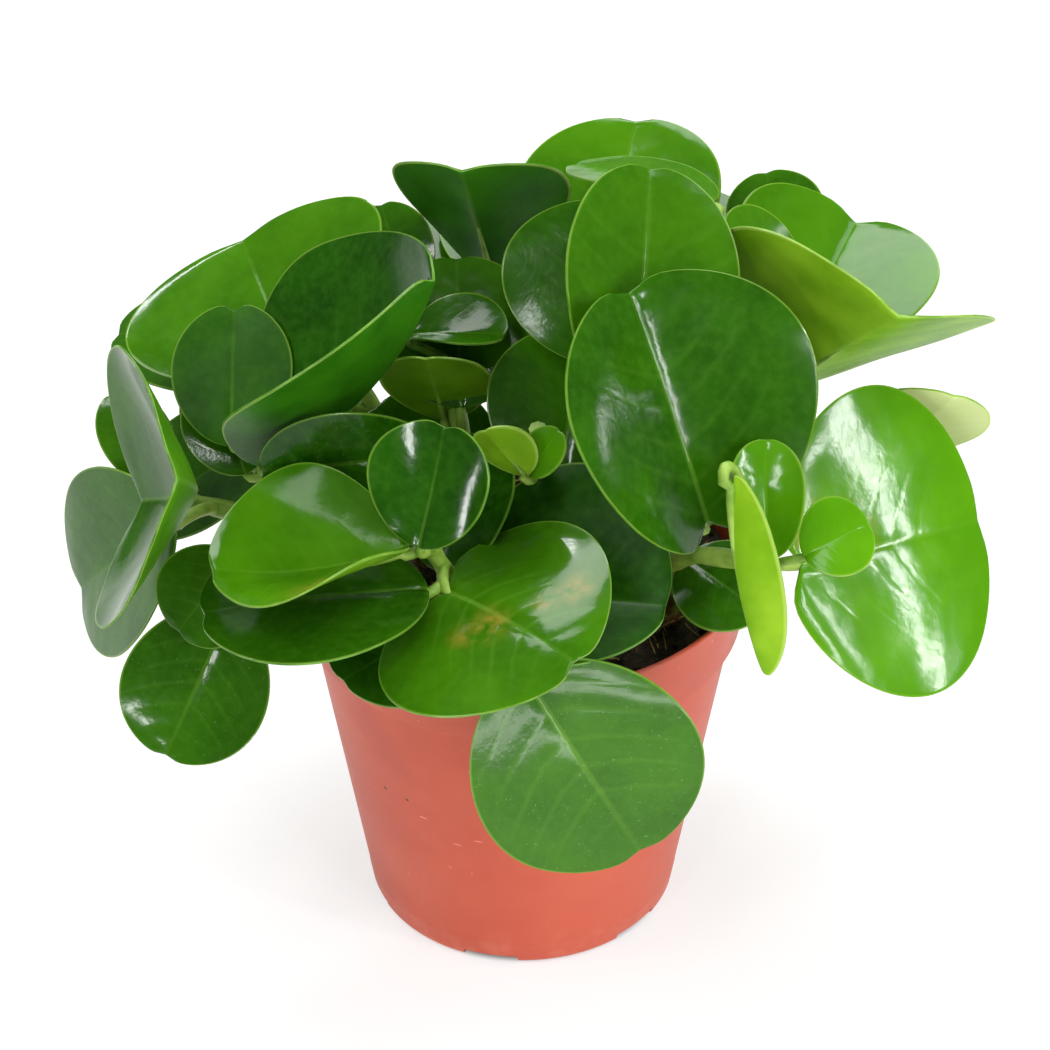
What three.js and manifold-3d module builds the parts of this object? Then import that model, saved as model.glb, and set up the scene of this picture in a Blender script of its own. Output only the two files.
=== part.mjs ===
// Potted peperomia: a baby rubber plant in a 12 cm plastic nursery pot.
// Millimetres, +Z up. The origin is the middle of the pot's flat underside, and the plant's
// front faces -Y. Every leafy shoot is one grown piece: stem, leaf stalks and leaves.

import * as THREE from 'three'
import { mergeVertices } from 'three/addons/utils/BufferGeometryUtils.js'
import Module from 'manifold-3d'

const wasm = await Module()
wasm.setup()

// Gap between pieces that touch in the real object
const clearance = 0.3

// Pot
const potHeight = 108
const rimRadius = 60
const baseRadius = 42
const wall = 1.5
const collarHeight = 18
const collarStep = 2
const collarLean = 1.6
const cornerRadius = 3
const collarFoot = 1.2
const rimEdge = 0.6
const potSides = 36

// Drain channels under the pot: each runs in from a notch at the foot of the wall
const channelCount = 6
const firstChannel = 258
const channelWidth = 15
const channelHeight = 3
const channelInnerEnd = 22
const roofIntoWall = 0.8
const drainHoleRadius = 3
const drainHoleAt = 29

// Soil
const soilLevel = 100
const soilRelief = 1.2
const soilRings = 4
const soilSides = potSides

// Stems and leaf stalks
const stemRadius = 2.9
const stemSides = 7
const stemSteps = 7
const stemDepth = 22
const stalkRadius = 1.4
const stalkSides = 5
const stalkSteps = 3
const stalkReach = 14
const stalkEnd = 4
const stalkSink = 0.6
const stalkRise = 0.4
const stalkEase = 0.35

// Slivers smaller than this, left where a stalk meets a blade, are smoothed away
const simplifyWithin = 0.05

// Leaf blades
const bladeThickness = 1.4
const bladeRings = [0.55, 1]
const largeBlade = 44
const bladeSides = { small: 12, large: 14 }
// Angles over which the dents at the tip and at the base open and fade out
const tipDent = [0.12, 0.7]
const baseDent = [0.15, 1]
const usualBlade = { fold: 10, arch: 8, cup: 0, notch: 0.05, taper: 0.1, lobe: 0 }
const usualTipShare = 0.6

// The shoots. foot is where the stem leaves the soil, and stem lists the points above it.
// A leaf has its base point, the heading and pitch of its midrib, the roll of its face, its
// length and its width. fold lifts both halves from the midrib, arch bends the tip down, cup
// curls the margins up, notch and lobe shape the tip and the base, and taper narrows the base.
const shoots = {
  front: {
    foot: [-12, -34],
    stem: [[-15, -38, 120], [-22, -46, 141]],
    leaves: [
      { base: [-25, -56, 149], heading: 60, pitch: 65, roll: -10, long: 31, wide: 34,
        fold: 12, cup: 28, arch: -16, taper: 0.2, notch: 0.1 },
      { base: [-27, -54, 147], heading: -170, pitch: 0, roll: 0, long: 49, wide: 61,
        fold: 40, tipFold: 4, arch: -40, cup: 20 },
      { base: [-23, -54, 135], heading: -171, pitch: -1, roll: -6, long: 56, wide: 64, fold: 2 },
      { base: [-18, -55, 135], heading: -46, pitch: 3, roll: -20, long: 44, wide: 62,
        fold: -4, arch: 22, notch: 0.1, taper: -0.1, lobe: 0.45 },
      { base: [1, -78, 126], heading: -10, pitch: -60, roll: -70, long: 58, wide: 58,
        fold: 4, lobe: 0.1 },
      { base: [-18, -42, 117], heading: -145, pitch: -10, roll: 10, long: 33, wide: 38, fold: 0 },
      { base: [-16, -35, 118], heading: -18, pitch: 10, roll: -20, long: 56, wide: 72,
        fold: 30, tipFold: 26 },
      { base: [-21, -29.5, 159], heading: 182, pitch: -5, roll: 80, long: 44, wide: 28, fold: 2 },
      { base: [-21, -34, 126], heading: 55, pitch: 52, roll: 15, long: 36, wide: 38 },
    ],
  },
  left_front: {
    foot: [-36, -22],
    stem: [[-46, -26, 116], [-58, -30, 126]],
    leaves: [
      { base: [-75, -28, 109], heading: -130, pitch: -50, roll: 35, long: 41, wide: 39, fold: 8 },
      { base: [-72, -30, 128], heading: -160, pitch: -50, roll: 40, long: 26, wide: 28, fold: 5 },
    ],
  },
  left: {
    foot: [-42, 2],
    stem: [[-62, -2, 118], [-92, -2, 127]],
    leaves: [
      { base: [-97, -10, 131], heading: -72, pitch: 38, roll: -77, long: 64, wide: 84,
        fold: 36, cup: 10, arch: -60 },
      { base: [-89, -14, 127], heading: 140, pitch: -45, roll: 68, long: 56, wide: 52,
        fold: 16, notch: 0.08 },
      { base: [-93, 5, 126], heading: 145, pitch: 52, roll: 55, long: 28, wide: 20, fold: 5 },
    ],
  },
  upper_left: {
    foot: [-26, 6],
    stem: [[-40, 4, 124], [-62, -2, 152]],
    leaves: [
      { base: [-59, 14, 156.5], heading: 112, pitch: 22, roll: 28, long: 44, wide: 78, fold: 16 },
      { base: [-67, -10.5, 141.5], heading: -4, pitch: 51, roll: 3, long: 75, wide: 96,
        fold: 48, tipFold: 28, arch: -45, notch: 0.12, taper: 0 },
      { base: [-74, -8.5, 147], heading: 90, pitch: 45, roll: 5, long: 36, wide: 32,
        fold: 8, notch: 0.12 },
      { base: [-71, -8, 138], heading: 112, pitch: 40, roll: 20, long: 27, wide: 26, fold: 15 },
      { base: [-70, 4, 132], heading: 115, pitch: 45, roll: 20, long: 30, wide: 30, fold: 5 },
    ],
  },
  centre_left: {
    foot: [-10, 8],
    stem: [[-14, 8, 130], [-20, 12, 160]],
    leaves: [
      { base: [-8, 50.5, 160], heading: -112, pitch: 65, roll: -12, long: 49, wide: 54,
        fold: 38, tipFold: 20 },
      { base: [-30, 44, 159], heading: 112, pitch: 40, roll: 15, long: 28, wide: 22, fold: 5 },
      { base: [-16, 5, 150], heading: 92, pitch: 45, roll: 5, long: 40, wide: 42, fold: 0 },
      { base: [-29, 14, 165], heading: -15, pitch: 10, roll: 0, long: 26, wide: 28, fold: 32 },
      { base: [-20, 11, 142], heading: -105, pitch: 60, roll: -10, long: 34, wide: 30 },
      { base: [-14, -4, 123], heading: 140, pitch: 30, roll: 8, long: 38, wide: 47 },
    ],
  },
  centre: {
    foot: [4, -4],
    stem: [[4, -5, 130], [4, -14, 156]],
    leaves: [
      { base: [9, -20, 142], heading: 78, pitch: 42, roll: -11, long: 42, wide: 44, fold: 0 },
      { base: [1, -34, 155], heading: -160, pitch: 55, roll: -60, long: 19, wide: 16, fold: 20 },
      { base: [2, -32, 154], heading: 20, pitch: 55, roll: -30, long: 14, wide: 12, fold: 20 },
    ],
  },
  centre_right: {
    foot: [24, -2],
    stem: [[32, -6, 128], [40, -12, 156]],
    leaves: [
      { base: [27, -27, 166], heading: 84, pitch: 48, roll: -24, long: 65, wide: 49,
        fold: 22, tipFold: 16, notch: 0.04 },
      { base: [45, -41, 146], heading: 130, pitch: 60, roll: 5, long: 61, wide: 77,
        fold: 26, tipFold: 20, notch: 0.1, taper: 0.12, lobe: 0.2 },
      { base: [18, -4, 169], heading: 85, pitch: 48, roll: -4, long: 42, wide: 50, fold: 0 },
    ],
  },
  right_front: {
    foot: [38, -20],
    stem: [[48, -30, 118], [62, -48, 138]],
    leaves: [
      { base: [59.5, -53, 143], heading: 90, pitch: 55, roll: 0, long: 30, wide: 21,
        fold: 15, cup: 25, notch: 0.02 },
      { base: [69, -51, 143], heading: 10, pitch: 25, roll: -40, long: 18, wide: 22,
        fold: 24, notch: 0.02 },
      { base: [49.5, -54, 169], heading: -70, pitch: -65, roll: 80, long: 51, wide: 26,
        fold: 56, tipFold: 60, arch: -24 },
      { base: [71, -24, 121], heading: 25, pitch: -2, roll: -55, long: 54, wide: 82,
        fold: 0, arch: 14, lobe: 0.2 },
      { base: [42, -18, 119], heading: -45, pitch: -10, roll: -20, long: 27, wide: 28, fold: 5 },
    ],
  },
  right_top: {
    foot: [34, 16],
    stem: [[50, 18, 130], [70, 18, 158]],
    leaves: [
      { base: [67, 17, 152], heading: 62, pitch: 25, roll: -16, long: 52, wide: 60,
        fold: 28, tipFold: 28, notch: 0.1, taper: 0.35 },
      { base: [72, 29, 170.5], heading: -155, pitch: 46, roll: 28, long: 34, wide: 26, fold: 30 },
      { base: [67, 16, 148], heading: -55, pitch: 45, roll: 38, long: 62, wide: 85,
        fold: 32, tipFold: 24, taper: 0.12 },
      { base: [70.5, 51, 166.5], heading: 105, pitch: 40, roll: 14, long: 26, wide: 27, fold: 5 },
    ],
  },
  top: {
    foot: [8, 24],
    stem: [[14, 28, 140], [22, 32, 170]],
    leaves: [
      { base: [22, 50, 156.5], heading: 77, pitch: 38, roll: 8, long: 52, wide: 59, fold: 12 },
      { base: [50, 43, 189.5], heading: 150, pitch: -2, roll: -14, long: 42, wide: 34, fold: 8 },
      { base: [22, 10, 160], heading: 90, pitch: 43, roll: 0, long: 42, wide: 50, fold: 0 },
    ],
  },
  right: {
    foot: [42, 4],
    stem: [[52, 8, 116], [84, 22, 120]],
    leaves: [
      { base: [101, 37, 115], heading: -61, pitch: 53, roll: 33, long: 40, wide: 34, fold: 4 },
      { base: [90, 27, 112], heading: 30, pitch: -25, roll: 0, long: 38, wide: 42 },
    ],
  },
  back_left: {
    foot: [-26, 30],
    stem: [[-36, 38, 118], [-46, 46, 136]],
    leaves: [
      { base: [-60, 48, 132], heading: 172, pitch: 10, roll: 0, long: 52, wide: 54 },
      { base: [-51, 58, 130], heading: 122, pitch: -5, roll: 0, long: 50, wide: 54 },
      { base: [-56, 56, 122], heading: 140, pitch: -40, roll: 0, long: 50, wide: 52 },
      { base: [-38, 56, 140], heading: 100, pitch: 20, roll: 0, long: 46, wide: 48 },
      { base: [-62, 36, 126], heading: 200, pitch: -28, roll: 0, long: 50, wide: 52 },
    ],
  },
  back: {
    foot: [2, 44],
    stem: [[2, 52, 122], [4, 62, 142]],
    leaves: [
      { base: [4, 74, 144], heading: 90, pitch: 5, roll: 0, long: 46, wide: 54 },
      { base: [-8, 70, 136], heading: 122, pitch: -25, roll: 0, long: 48, wide: 50 },
      { base: [14, 72, 130], heading: 78, pitch: -22, roll: 0, long: 48, wide: 50 },
      { base: [0, 66, 145], heading: 95, pitch: 22, roll: 0, long: 42, wide: 44 },
      { base: [6, 74, 124], heading: 85, pitch: -55, roll: 0, long: 46, wide: 48 },
    ],
  },
  back_right: {
    foot: [28, 34],
    stem: [[38, 40, 118], [50, 48, 136]],
    leaves: [
      { base: [60, 54, 140], heading: 40, pitch: 5, roll: 0, long: 52, wide: 56 },
      { base: [54, 60, 138], heading: 62, pitch: -5, roll: 0, long: 50, wide: 50 },
      { base: [58, 54, 122], heading: 42, pitch: -40, roll: 0, long: 46, wide: 48 },
      { base: [42, 58, 148], heading: 85, pitch: 20, roll: 0, long: 42, wide: 44 },
    ],
  },
}

// Materials
const plastic = new THREE.MeshStandardMaterial({ color: 0xc96a52, roughness: 0.5, metalness: 0 })
const peat = new THREE.MeshStandardMaterial({ color: 0x2c1c14, roughness: 1, metalness: 0 })
const foliage = new THREE.MeshStandardMaterial({ color: 0x3f8a2a, roughness: 0.35, metalness: 0 })

const radians = THREE.MathUtils.degToRad
const vector = (x, y, z) => new THREE.Vector3(x, y, z)

// A closed geometry becomes a solid that can be joined and cut
function solid(geometry) {
  const bare = geometry.clone()
  bare.deleteAttribute('normal')
  bare.deleteAttribute('uv')
  const merged = mergeVertices(bare, 1e-4)
  return new wasm.Manifold(new wasm.Mesh({
    numProp: 3,
    vertProperties: new Float32Array(merged.attributes.position.array),
    triVerts: new Uint32Array(merged.index.array),
  }))
}

function piece(name, shape, material) {
  const mesh = shape.getMesh()
  const geometry = new THREE.BufferGeometry()
  geometry.setAttribute('position', new THREE.BufferAttribute(mesh.vertProperties, 3))
  geometry.setIndex(new THREE.BufferAttribute(mesh.triVerts, 1))
  geometry.computeVertexNormals()
  const result = new THREE.Mesh(geometry, material)
  result.name = name
  return result
}

// A lathed solid that stands along +Z
function lathed(points, sides) {
  const geometry = new THREE.LatheGeometry(points, sides)
  geometry.rotateX(Math.PI / 2)
  return solid(geometry)
}

// A box given by its size and its middle, turned about the pot's axis
function radialBox(size, middle, degrees) {
  const geometry = new THREE.BoxGeometry(...size)
  geometry.translate(...middle)
  geometry.rotateZ(radians(degrees))
  return solid(geometry)
}

// An upright cylinder from one height to another
function post(x, y, radius, low, high, sides) {
  const geometry = new THREE.CylinderGeometry(radius, radius, high - low, sides)
  geometry.rotateX(Math.PI / 2)
  geometry.translate(x, y, (low + high) / 2)
  return solid(geometry)
}

// Pot wall: one straight taper up to the collar, which stands out by a step
const collarLow = potHeight - collarHeight
const collarRadius = rimRadius - collarLean
const bodyTop = collarRadius - collarStep
const outerAt = (z) => baseRadius + (bodyTop - baseRadius) * z / collarLow
const innerAt = (z) => outerAt(z) - wall
const innerStepLow = collarLow + 1
const innerStepHigh = collarLow + 3

function potShell() {
  const corner = Array.from({ length: 4 }, (_, i) => {
    const turn = i / 3 * Math.PI / 2
    return new THREE.Vector2(
      outerAt(cornerRadius) - cornerRadius * (1 - Math.sin(turn)),
      cornerRadius * (1 - Math.cos(turn)),
    )
  })
  return lathed([
    new THREE.Vector2(0, 0),
    ...corner,
    new THREE.Vector2(bodyTop, collarLow),
    new THREE.Vector2(collarRadius - collarFoot / 4, collarLow + collarFoot / 3),
    new THREE.Vector2(collarRadius, collarLow + collarFoot),
    new THREE.Vector2(rimRadius, potHeight - rimEdge),
    new THREE.Vector2(rimRadius - rimEdge, potHeight),
    new THREE.Vector2(rimRadius - wall, potHeight - rimEdge / 3),
    new THREE.Vector2(collarRadius - wall, innerStepHigh),
    new THREE.Vector2(innerAt(collarLow), innerStepLow),
    new THREE.Vector2(innerAt(wall), wall),
    new THREE.Vector2(0, wall),
  ], potSides)
}

const channelAngles = Array.from({ length: channelCount }, (_, i) =>
  firstChannel + i * 360 / channelCount)

// The raised roof of one drain channel inside the pot, grown by a margin where the soil meets it
function channelRoof(degrees, margin) {
  const long = innerAt(channelHeight) - channelInnerEnd + roofIntoWall
  const height = channelHeight + wall
  return radialBox(
    [long + margin * 2, channelWidth + 2 * wall + margin * 2, height - wall / 2 + margin],
    [channelInnerEnd - wall / 2 + long / 2, 0, wall / 2 + (height - wall / 2 + margin) / 2],
    degrees,
  )
}

function channelCut(degrees) {
  const long = baseRadius + 6 - channelInnerEnd
  return radialBox(
    [long, channelWidth, channelHeight + 1],
    [channelInnerEnd + long / 2, 0, (channelHeight - 1) / 2],
    degrees,
  )
}

function drainHole(degrees) {
  const x = drainHoleAt * Math.cos(radians(degrees))
  const y = drainHoleAt * Math.sin(radians(degrees))
  return post(x, y, drainHoleRadius, 1, channelHeight + wall + 1, 10)
}

function pot() {
  let shape = potShell()
  for (const degrees of channelAngles) shape = shape.add(channelRoof(degrees, 0))
  for (const degrees of channelAngles) {
    shape = shape.subtract(channelCut(degrees)).subtract(drainHole(degrees))
  }
  return piece('pot', shape, plastic)
}

// The soil fills the pot to its level, with an uneven surface
const soilRadius = collarRadius - wall - clearance
const soilTop = (x, y) => soilLevel + soilRelief * (
  0.5 * Math.sin(0.21 * x + 1.3) * Math.cos(0.17 * y) + 0.5 * Math.sin(0.09 * x - 0.24 * y)
)

function soilBlock() {
  const geometry = new THREE.BufferGeometry()
  const low = wall + clearance
  const rings = [
    ...Array.from({ length: soilRings }, (_, i) => {
      const radius = soilRadius * (i + 1) / soilRings
      return { radius, z: null }
    }),
    { radius: soilRadius, z: innerStepHigh + clearance },
    { radius: innerAt(collarLow) - clearance, z: innerStepLow + clearance },
    { radius: innerAt(low) - clearance, z: low },
  ]
  const points = [[0, 0, soilTop(0, 0)]]
  for (const ring of rings) {
    for (let i = 0; i < soilSides; i += 1) {
      const turn = i / soilSides * 2 * Math.PI
      const x = ring.radius * Math.cos(turn)
      const y = ring.radius * Math.sin(turn)
      points.push([x, y, ring.z === null ? soilTop(x, y) : ring.z])
    }
  }
  points.push([0, 0, low])
  const at = (ring, i) => 1 + ring * soilSides + i % soilSides
  const faces = []
  for (let i = 0; i < soilSides; i += 1) {
    faces.push(0, at(0, i), at(0, i + 1))
    for (let ring = 0; ring < rings.length - 1; ring += 1) {
      faces.push(at(ring, i), at(ring + 1, i), at(ring + 1, i + 1))
      faces.push(at(ring, i), at(ring + 1, i + 1), at(ring, i + 1))
    }
    faces.push(points.length - 1, at(rings.length - 1, i + 1), at(rings.length - 1, i))
  }
  geometry.setAttribute('position', new THREE.Float32BufferAttribute(points.flat(), 3))
  geometry.setIndex(faces)
  return solid(geometry)
}

function soil() {
  let shape = soilBlock()
  for (const degrees of channelAngles) shape = shape.subtract(channelRoof(degrees, clearance))
  for (const { foot } of Object.values(shoots)) {
    const radius = stemRadius + 2 * clearance
    shape = shape.subtract(
      post(...foot, radius, soilLevel - stemDepth - clearance, soilLevel + 10, stemSides + 3))
  }
  return piece('soil', shape, peat)
}

// A round rod along a curve
function rod(curve, radius, sides, steps) {
  const section = new THREE.Shape()
  for (let i = 0; i < sides; i += 1) {
    const turn = i / sides * 2 * Math.PI
    const point = [radius * Math.cos(turn), radius * Math.sin(turn)]
    if (i === 0) section.moveTo(...point)
    else section.lineTo(...point)
  }
  section.closePath()
  return solid(new THREE.ExtrudeGeometry(section, {
    extrudePath: curve, steps, curveSegments: sides, bevelEnabled: false,
  }))
}

function stemCurve({ foot, stem }) {
  return new THREE.CatmullRomCurve3([
    vector(...foot, soilLevel - stemDepth),
    vector(...foot, soilLevel + 2),
    vector(...foot, soilLevel + 5),
    ...stem.map((point) => vector(...point)),
  ])
}

// The directions of a leaf: along its midrib, across it, and up out of its upper face
function leafFrame({ heading, pitch, roll }) {
  const h = radians(heading)
  const p = radians(pitch)
  const r = radians(roll)
  const along = vector(Math.cos(p) * Math.cos(h), Math.cos(p) * Math.sin(h), Math.sin(p))
  const level = vector(-Math.sin(p) * Math.cos(h), -Math.sin(p) * Math.sin(h), Math.cos(p))
  const side = level.clone().cross(along)
  const up = level.multiplyScalar(Math.cos(r)).addScaledVector(side, Math.sin(r))
  return { along, up, across: up.clone().cross(along) }
}

// The outline, as shares of the length and of the half width. turn runs from the base round to
// the tip and back. Small dents at the tip and the base come from the notch and the lobe.
function outline(turn, { notch, taper, lobe }) {
  const fromBase = turn <= Math.PI ? turn : 2 * Math.PI - turn
  const fromTip = Math.PI - fromBase
  const dent = (angle, depth, [narrow, broad]) =>
    depth * (1 - Math.exp(-((angle / narrow) ** 2))) * Math.exp(-((angle / broad) ** 2))
  const reach = 1 + dent(fromTip, notch, tipDent) + dent(fromBase, lobe, baseDent)
  const half = reach * Math.sin(fromBase) * (1 - taper * Math.cos(fromBase))
  return [0.5 - 0.5 * reach * Math.cos(fromBase), turn <= Math.PI ? half : -half]
}

// A point of the bent blade's middle surface, and the direction out of its upper face there
function bladePoint(leaf, frame, share, half) {
  const arch = radians(leaf.arch)
  const length = leaf.long * (arch / 2) / Math.sin(arch / 2)
  const slope = arch / 2 - arch * share
  const middle = vector(...leaf.base)
    .addScaledVector(frame.along, length / arch * (Math.sin(arch / 2) - Math.sin(slope)))
    .addScaledVector(frame.up, length / arch * (Math.cos(slope) - Math.cos(arch / 2)))
  const up = frame.along.clone().multiplyScalar(-Math.sin(slope))
    .addScaledVector(frame.up, Math.cos(slope))
  const out = Math.abs(half) * leaf.wide / 2
  const curl = radians(leaf.cup || 0.01) / (leaf.wide / 2)
  const along = Math.min(Math.max(share, 0), 1)
  const tipFold = leaf.tipFold ?? leaf.fold * usualTipShare
  const fold = radians(leaf.fold + (tipFold - leaf.fold) * along)
  const turn = fold + curl * out
  const sign = Math.sign(half)
  middle.addScaledVector(frame.across, sign * (Math.sin(turn) - Math.sin(fold)) / curl)
  middle.addScaledVector(up, (Math.cos(fold) - Math.cos(turn)) / curl)
  const face = sign === 0
    ? up.multiplyScalar(1 / Math.cos(fold))
    : up.multiplyScalar(Math.cos(turn)).addScaledVector(frame.across, -sign * Math.sin(turn))
  return { middle, face }
}

function blade(leaf, frame) {
  const sides = leaf.wide < largeBlade ? bladeSides.small : bladeSides.large
  const places = [[0.5, 0]]
  for (const ring of bladeRings) {
    for (let i = 0; i < sides; i += 1) {
      const [share, half] = outline(i / sides * 2 * Math.PI, leaf)
      const onMidrib = i === 0 || i === sides / 2
      places.push([0.5 + (share - 0.5) * ring, onMidrib ? 0 : half * ring])
    }
  }
  const points = []
  for (const side of [0.5, -0.5]) {
    for (const place of places) {
      const { middle, face } = bladePoint(leaf, frame, ...place)
      points.push(...middle.addScaledVector(face, side * bladeThickness).toArray())
    }
  }
  const faces = []
  const quad = (a, b, c, d) => faces.push(a, b, c, a, c, d)
  const at = (ring, i) => 1 + ring * sides + i % sides
  const last = bladeRings.length - 1
  const under = places.length
  for (let i = 0; i < sides; i += 1) {
    faces.push(0, at(0, i + 1), at(0, i))
    faces.push(under, under + at(0, i), under + at(0, i + 1))
    for (let ring = 0; ring < last; ring += 1) {
      const corners = [at(ring, i), at(ring, i + 1), at(ring + 1, i + 1), at(ring + 1, i)]
      faces.push(corners[0], corners[1], corners[2], corners[0], corners[2], corners[3])
      const [a, b, c, d] = corners.map((corner) => corner + under)
      faces.push(a, c, b, a, d, c)
    }
    quad(at(last, i), at(last, i + 1), under + at(last, i + 1), under + at(last, i))
  }
  const geometry = new THREE.BufferGeometry()
  geometry.setAttribute('position', new THREE.Float32BufferAttribute(points, 3))
  geometry.setIndex(faces)
  return solid(geometry)
}

// The stalk leaves the stem a little way behind the blade and ends under the midrib
function stalk(leaf, frame, stem) {
  const base = vector(...leaf.base)
  const wanted = base.clone().addScaledVector(frame.along, -stalkReach)
  const candidates = stem.getSpacedPoints(60).filter((point) => point.z > soilLevel + 6)
  const start = candidates.reduce((best, point) =>
    (point.distanceTo(wanted) < best.distanceTo(wanted) ? point : best))
  const span = base.distanceTo(start)
  const out = base.clone().sub(start).normalize().add(vector(0, 0, stalkRise)).normalize()
  return rod(new THREE.CubicBezierCurve3(
    start,
    start.clone().addScaledVector(out, span * stalkEase),
    base.clone().addScaledVector(frame.along, -span * stalkEase),
    base.clone().addScaledVector(frame.along, stalkEnd).addScaledVector(frame.up, -stalkSink),
  ), stalkRadius, stalkSides, stalkSteps)
}

function shoot(name, plan) {
  const stem = stemCurve(plan)
  let shape = rod(stem, stemRadius, stemSides, stemSteps)
  for (const row of plan.leaves) {
    const leaf = { ...usualBlade, ...row }
    const frame = leafFrame(leaf)
    shape = shape.add(stalk(leaf, frame, stem)).add(blade(leaf, frame))
  }
  return piece(`shoot_${name}`, shape.simplify(simplifyWithin), foliage)
}

const plant = new THREE.Group()
plant.add(pot(), soil())
for (const [name, plan] of Object.entries(shoots)) plant.add(shoot(name, plan))

export default plant
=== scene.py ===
# %% [markdown]
# A potted peperomia, dressed around its measured frame.
# The plant is a baby rubber plant: thick round waxy leaves on short stalks, in a plain
# terracotta-coloured plastic nursery pot. The frame holds every piece at its real size. This
# script gives the pot, the soil and the leafy shoots their fine surfaces, and lights them as
# in a plain pale studio. Everything is in metres, and the pot stands on the floor at z = 0.

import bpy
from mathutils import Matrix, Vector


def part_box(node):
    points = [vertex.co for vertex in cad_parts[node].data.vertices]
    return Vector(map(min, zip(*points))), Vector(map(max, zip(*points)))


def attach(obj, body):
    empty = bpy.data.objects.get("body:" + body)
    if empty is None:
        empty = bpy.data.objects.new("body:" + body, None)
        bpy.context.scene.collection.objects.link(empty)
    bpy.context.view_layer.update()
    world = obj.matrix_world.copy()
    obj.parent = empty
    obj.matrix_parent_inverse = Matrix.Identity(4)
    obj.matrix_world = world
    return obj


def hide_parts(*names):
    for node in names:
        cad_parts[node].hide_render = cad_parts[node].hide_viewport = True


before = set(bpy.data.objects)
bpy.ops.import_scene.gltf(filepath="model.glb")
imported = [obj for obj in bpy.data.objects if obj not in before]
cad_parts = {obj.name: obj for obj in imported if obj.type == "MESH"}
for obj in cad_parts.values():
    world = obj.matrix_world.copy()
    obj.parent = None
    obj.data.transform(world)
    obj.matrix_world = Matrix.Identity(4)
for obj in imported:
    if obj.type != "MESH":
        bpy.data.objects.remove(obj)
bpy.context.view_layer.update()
print("nodes in the frame:", len(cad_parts))

# %% [markdown]
# Small helpers come first. Sizes of the plant are written in millimetres, as on a drawing, and
# turned into metres once. Blender's operators act on all that is selected, so each piece starts with
# nothing selected, and each one ends with its object at the origin.

# %% Units and helpers
import math
import random
from dataclasses import dataclass

import bpy
import numpy as np
from mathutils import Vector, noise

MM = 0.001
draw = random.Random(7)


def deselect():
    bpy.ops.object.select_all(action="DESELECT")


def only(piece):
    """Select one object and make it the active one."""
    deselect()
    piece.select_set(True)
    bpy.context.view_layer.objects.active = piece


def add_object(name, data):
    """Put an object with this data in the scene."""
    item = bpy.data.objects.new(name, data)
    bpy.context.scene.collection.objects.link(item)
    return item


def apply_modifier(piece, kind, **settings):
    """Add a modifier with these settings and apply it."""
    only(piece)
    modifier = piece.modifiers.new(kind.title(), kind)
    for name, value in settings.items():
        setattr(modifier, name, value)
    bpy.ops.object.modifier_apply(modifier=modifier.name)


def settle(piece, name):
    """Name a finished piece and put its place into its mesh."""
    only(piece)
    bpy.ops.object.transform_apply(location=True, rotation=True, scale=True)
    piece.name = piece.data.name = name
    return piece


def faces_of(piece):
    return len(piece.data.polygons)


def colour(red, green, blue):
    """A colour as a screen shows it, 0 to 255, turned into the light that a shader wants."""
    return tuple(
        c / 12.92 if c <= 0.04045 else ((c + 0.055) / 1.055) ** 2.4
        for c in (red / 255, green / 255, blue / 255)
    ) + (1.0,)


# %% [markdown]
# The camera looks down at the plant from the front, 35 degrees above the horizon, through a
# long lens, so the pot tapers strongly and the leaves hide most of the rim. The picture is
# square, and the lens is chosen so that the plant fills it as it does in the photograph.

# %% Camera
camera_data = bpy.data.cameras.new("camera")
camera = add_object("camera", camera_data)
bpy.context.scene.camera = camera

view_height = 35
view_distance = 850 * MM
look_at = Vector((0.7, 0, 116.6)) * MM
away = Vector((0, -math.cos(math.radians(view_height)), math.sin(math.radians(view_height))))
camera.location = look_at + away * view_distance
camera.rotation_euler = (math.radians(90 - view_height), 0, 0)
camera_data.sensor_width = 36
camera_data.lens = 111.0
print("camera at", tuple(round(c, 3) for c in camera.location))

# %% [markdown]
# The stage is a wide pale floor under an even white sky, which fills the shadows softly. Long and
# broad lamps stand in for the windows and soft boxes of a studio. Glossy leaves show them as
# long pale bands, so each lamp's place and size are chosen for the bands it leaves.

# %% Floor, sky and lamps
bpy.ops.mesh.primitive_plane_add(size=12)
floor = bpy.context.object
floor.name = "floor"

world = bpy.data.worlds.new("studio sky")
bpy.context.scene.world = world
world.use_nodes = True
sky = world.node_tree.nodes["Background"]
sky.inputs["Color"].default_value = (1, 1, 1, 1)
sky.inputs["Strength"].default_value = 0.11

bpy.context.scene.view_settings.view_transform = "Standard"
lamp_target = Vector((0, 0, 0.14))


def lamp(name, direction, distance, size, power):
    """A rectangular lamp that faces the plant from a heading and a height, both in degrees.

    Heading 0 is the camera's side, and 90 is to the right. Distance and size are in metres.
    """
    heading, height = (math.radians(a) for a in direction)
    towards = Vector((
        math.sin(heading) * math.cos(height),
        -math.cos(heading) * math.cos(height),
        math.sin(height),
    ))
    data = bpy.data.lights.new(name, "AREA")
    data.shape = "RECTANGLE"
    data.size, data.size_y = size
    data.energy = power
    item = add_object(name, data)
    item.location = lamp_target + towards * distance
    item.rotation_euler = towards.to_track_quat("Z", "Y").to_euler()


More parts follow.
